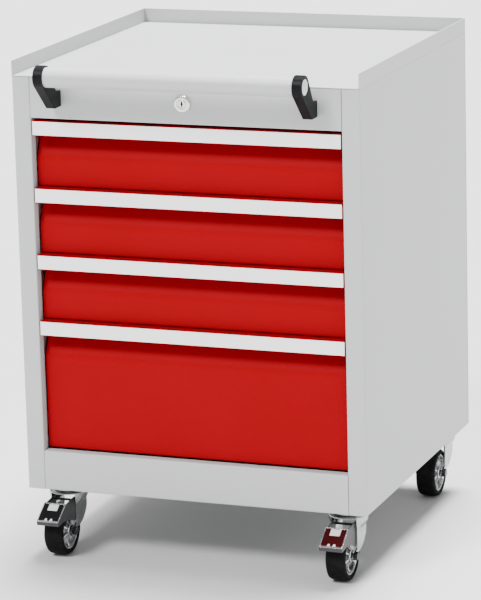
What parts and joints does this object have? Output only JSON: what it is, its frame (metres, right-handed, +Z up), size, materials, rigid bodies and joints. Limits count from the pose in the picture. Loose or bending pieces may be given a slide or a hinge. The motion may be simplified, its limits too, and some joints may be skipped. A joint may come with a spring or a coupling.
{
  "type": "mobile drawer cabinet",
  "caption": "Mobile workshop drawer cabinet with a rimmed worktop, push handle, central lock and drawers on full-extension slides, on swivel castors.",
  "frame": {"origin": "on the floor, at the middle of the footprint of the whole cabinet with its push handle", "axes": "+X to the right seen from the front, +Y towards the back, +Z up; the front faces -Y"},
  "size_m": [0.532, 0.579, 0.7535],
  "materials": {
    "grey_paint": "satin light grey powder coat",
    "red_paint": "satin red powder coat",
    "strip": "pale matt grip strip",
    "black_plastic": "black moulded nylon",
    "pale_plastic": "pale grey moulded cap",
    "galvanised": "galvanised sheet",
    "zinc": "bright zinc plate",
    "nickel": "nickel-plated",
    "cast_aluminium": "cast and machined",
    "rubber": "black rubber tread",
    "dark_steel": "zinc-plated pressed pedal"
  },
  "bodies": {
    "carcass": {"left_side_panel": "grey_paint", "right_side_panel": "grey_paint", "back_panel": "grey_paint", "top_plate": "grey_paint", "bottom_plate": "grey_paint", "front_fascia": "grey_paint", "front_bottom_rail": "grey_paint", "left_runner_panel": "galvanised", "right_runner_panel": "galvanised", "push_handle_tube": "grey_paint", "left_handle_bracket": "black_plastic", "right_handle_bracket": "black_plastic", "left_handle_end_cap": "pale_plastic", "right_handle_end_cap": "pale_plastic", "lock_housing": "nickel", "castor_front_left_plate": "zinc", "castor_front_right_plate": "zinc", "castor_rear_left_plate": "zinc", "castor_rear_right_plate": "zinc"},
    "drawer_1": {"drawer_1_front": "red_paint", "drawer_1_handle_strip": "strip", "drawer_1_pan": "grey_paint"},
    "drawer_1_middle_members": {"drawer_1_left_slide_member": "galvanised", "drawer_1_right_slide_member": "galvanised"},
    "drawer_2": {"drawer_2_front": "red_paint", "drawer_2_handle_strip": "strip", "drawer_2_pan": "grey_paint"},
    "drawer_2_middle_members": {"drawer_2_left_slide_member": "galvanised", "drawer_2_right_slide_member": "galvanised"},
    "drawer_3": {"drawer_3_front": "red_paint", "drawer_3_handle_strip": "strip", "drawer_3_pan": "grey_paint"},
    "drawer_3_middle_members": {"drawer_3_left_slide_member": "galvanised", "drawer_3_right_slide_member": "galvanised"},
    "drawer_4": {"drawer_4_front": "red_paint", "drawer_4_handle_strip": "strip", "drawer_4_pan": "grey_paint"},
    "drawer_4_middle_members": {"drawer_4_left_slide_member": "galvanised", "drawer_4_right_slide_member": "galvanised"},
    "lock_plug": {"lock_plug": "nickel", "lock_cam": "galvanised"},
    "lock_bar": {"lock_bar": "galvanised"},
    "castor_front_left_swivel": {"castor_front_left_fork": "zinc", "castor_front_left_axle": "zinc"},
    "castor_front_left_wheel": {"castor_front_left_hub": "cast_aluminium", "castor_front_left_tyre": "rubber"},
    "castor_front_left_brake_pedal": {"castor_front_left_brake_pedal": "dark_steel"},
    "castor_front_right_swivel": {"castor_front_right_fork": "zinc", "castor_front_right_axle": "zinc"},
    "castor_front_right_wheel": {"castor_front_right_hub": "cast_aluminium", "castor_front_right_tyre": "rubber"},
    "castor_front_right_brake_pedal": {"castor_front_right_brake_pedal": "dark_steel"},
    "castor_rear_left_swivel": {"castor_rear_left_fork": "zinc", "castor_rear_left_axle": "zinc"},
    "castor_rear_left_wheel": {"castor_rear_left_hub": "cast_aluminium", "castor_rear_left_tyre": "rubber"},
    "castor_rear_right_swivel": {"castor_rear_right_fork": "zinc", "castor_rear_right_axle": "zinc"},
    "castor_rear_right_wheel": {"castor_rear_right_hub": "cast_aluminium", "castor_rear_right_tyre": "rubber"}
  },
  "joints": [
    {"name": "drawer_1_slide", "type": "slide", "parent": "carcass", "child": "drawer_1", "axis": [0, -1, 0], "range_m": [0, 0.38]},
    {"name": "drawer_1_middle_slide", "type": "slide", "parent": "carcass", "child": "drawer_1_middle_members", "axis": [0, -1, 0], "range_m": [0, 0.19]},
    {"name": "drawer_2_slide", "type": "slide", "parent": "carcass", "child": "drawer_2", "axis": [0, -1, 0], "range_m": [0, 0.38]},
    {"name": "drawer_2_middle_slide", "type": "slide", "parent": "carcass", "child": "drawer_2_middle_members", "axis": [0, -1, 0], "range_m": [0, 0.19]},
    {"name": "drawer_3_slide", "type": "slide", "parent": "carcass", "child": "drawer_3", "axis": [0, -1, 0], "range_m": [0, 0.38]},
    {"name": "drawer_3_middle_slide", "type": "slide", "parent": "carcass", "child": "drawer_3_middle_members", "axis": [0, -1, 0], "range_m": [0, 0.19]},
    {"name": "drawer_4_slide", "type": "slide", "parent": "carcass", "child": "drawer_4", "axis": [0, -1, 0], "range_m": [0, 0.38]},
    {"name": "drawer_4_middle_slide", "type": "slide", "parent": "carcass", "child": "drawer_4_middle_members", "axis": [0, -1, 0], "range_m": [0, 0.19]},
    {"name": "lock_turn", "type": "hinge", "parent": "carcass", "child": "lock_plug", "pos_m": [0, -0.2225, 0.697], "axis": [0, 1, 0], "range_deg": [0, 90]},
    {"name": "lock_bar_slide", "type": "slide", "parent": "carcass", "child": "lock_bar", "axis": [0, 0, -1], "range_m": [0, 0.008]},
    {"name": "castor_front_left_swivel", "type": "hinge", "parent": "carcass", "child": "castor_front_left_swivel", "pos_m": [-0.222, -0.175, 0.092], "axis": [0, 0, 1], "continuous": true},
    {"name": "castor_front_left_wheel_spin", "type": "hinge", "parent": "castor_front_left_swivel", "child": "castor_front_left_wheel", "pos_m": [-0.222, -0.205, 0.0375], "axis": [1, 0, 0], "continuous": true},
    {"name": "castor_front_left_brake_pedal", "type": "hinge", "parent": "castor_front_left_swivel", "child": "castor_front_left_brake_pedal", "pos_m": [-0.222, -0.193, 0.081], "axis": [1, 0, 0], "range_deg": [0, 10]},
    {"name": "castor_front_right_swivel", "type": "hinge", "parent": "carcass", "child": "castor_front_right_swivel", "pos_m": [0.222, -0.175, 0.092], "axis": [0, 0, 1], "continuous": true},
    {"name": "castor_front_right_wheel_spin", "type": "hinge", "parent": "castor_front_right_swivel", "child": "castor_front_right_wheel", "pos_m": [0.222, -0.205, 0.0375], "axis": [1, 0, 0], "continuous": true},
    {"name": "castor_front_right_brake_pedal", "type": "hinge", "parent": "castor_front_right_swivel", "child": "castor_front_right_brake_pedal", "pos_m": [0.222, -0.193, 0.081], "axis": [1, 0, 0], "range_deg": [0, 10]},
    {"name": "castor_rear_left_swivel", "type": "hinge", "parent": "carcass", "child": "castor_rear_left_swivel", "pos_m": [-0.222, 0.2595, 0.092], "axis": [0, 0, 1], "continuous": true},
    {"name": "castor_rear_left_wheel_spin", "type": "hinge", "parent": "castor_rear_left_swivel", "child": "castor_rear_left_wheel", "pos_m": [-0.222, 0.2295, 0.0375], "axis": [1, 0, 0], "continuous": true},
    {"name": "castor_rear_right_swivel", "type": "hinge", "parent": "carcass", "child": "castor_rear_right_swivel", "pos_m": [0.222, 0.2595, 0.092], "axis": [0, 0, 1], "continuous": true},
    {"name": "castor_rear_right_wheel_spin", "type": "hinge", "parent": "castor_rear_right_swivel", "child": "castor_rear_right_wheel", "pos_m": [0.222, 0.2295, 0.0375], "axis": [1, 0, 0], "continuous": true}
  ],
  "couplings": [
    {"joint": "drawer_1_middle_slide", "follows": "drawer_1_slide", "ratio": 0.5},
    {"joint": "drawer_2_middle_slide", "follows": "drawer_2_slide", "ratio": 0.5},
    {"joint": "drawer_3_middle_slide", "follows": "drawer_3_slide", "ratio": 0.5},
    {"joint": "drawer_4_middle_slide", "follows": "drawer_4_slide", "ratio": 0.5},
    {"joint": "lock_turn", "follows": "lock_bar_slide", "rad_per_m": 196}
  ]
}
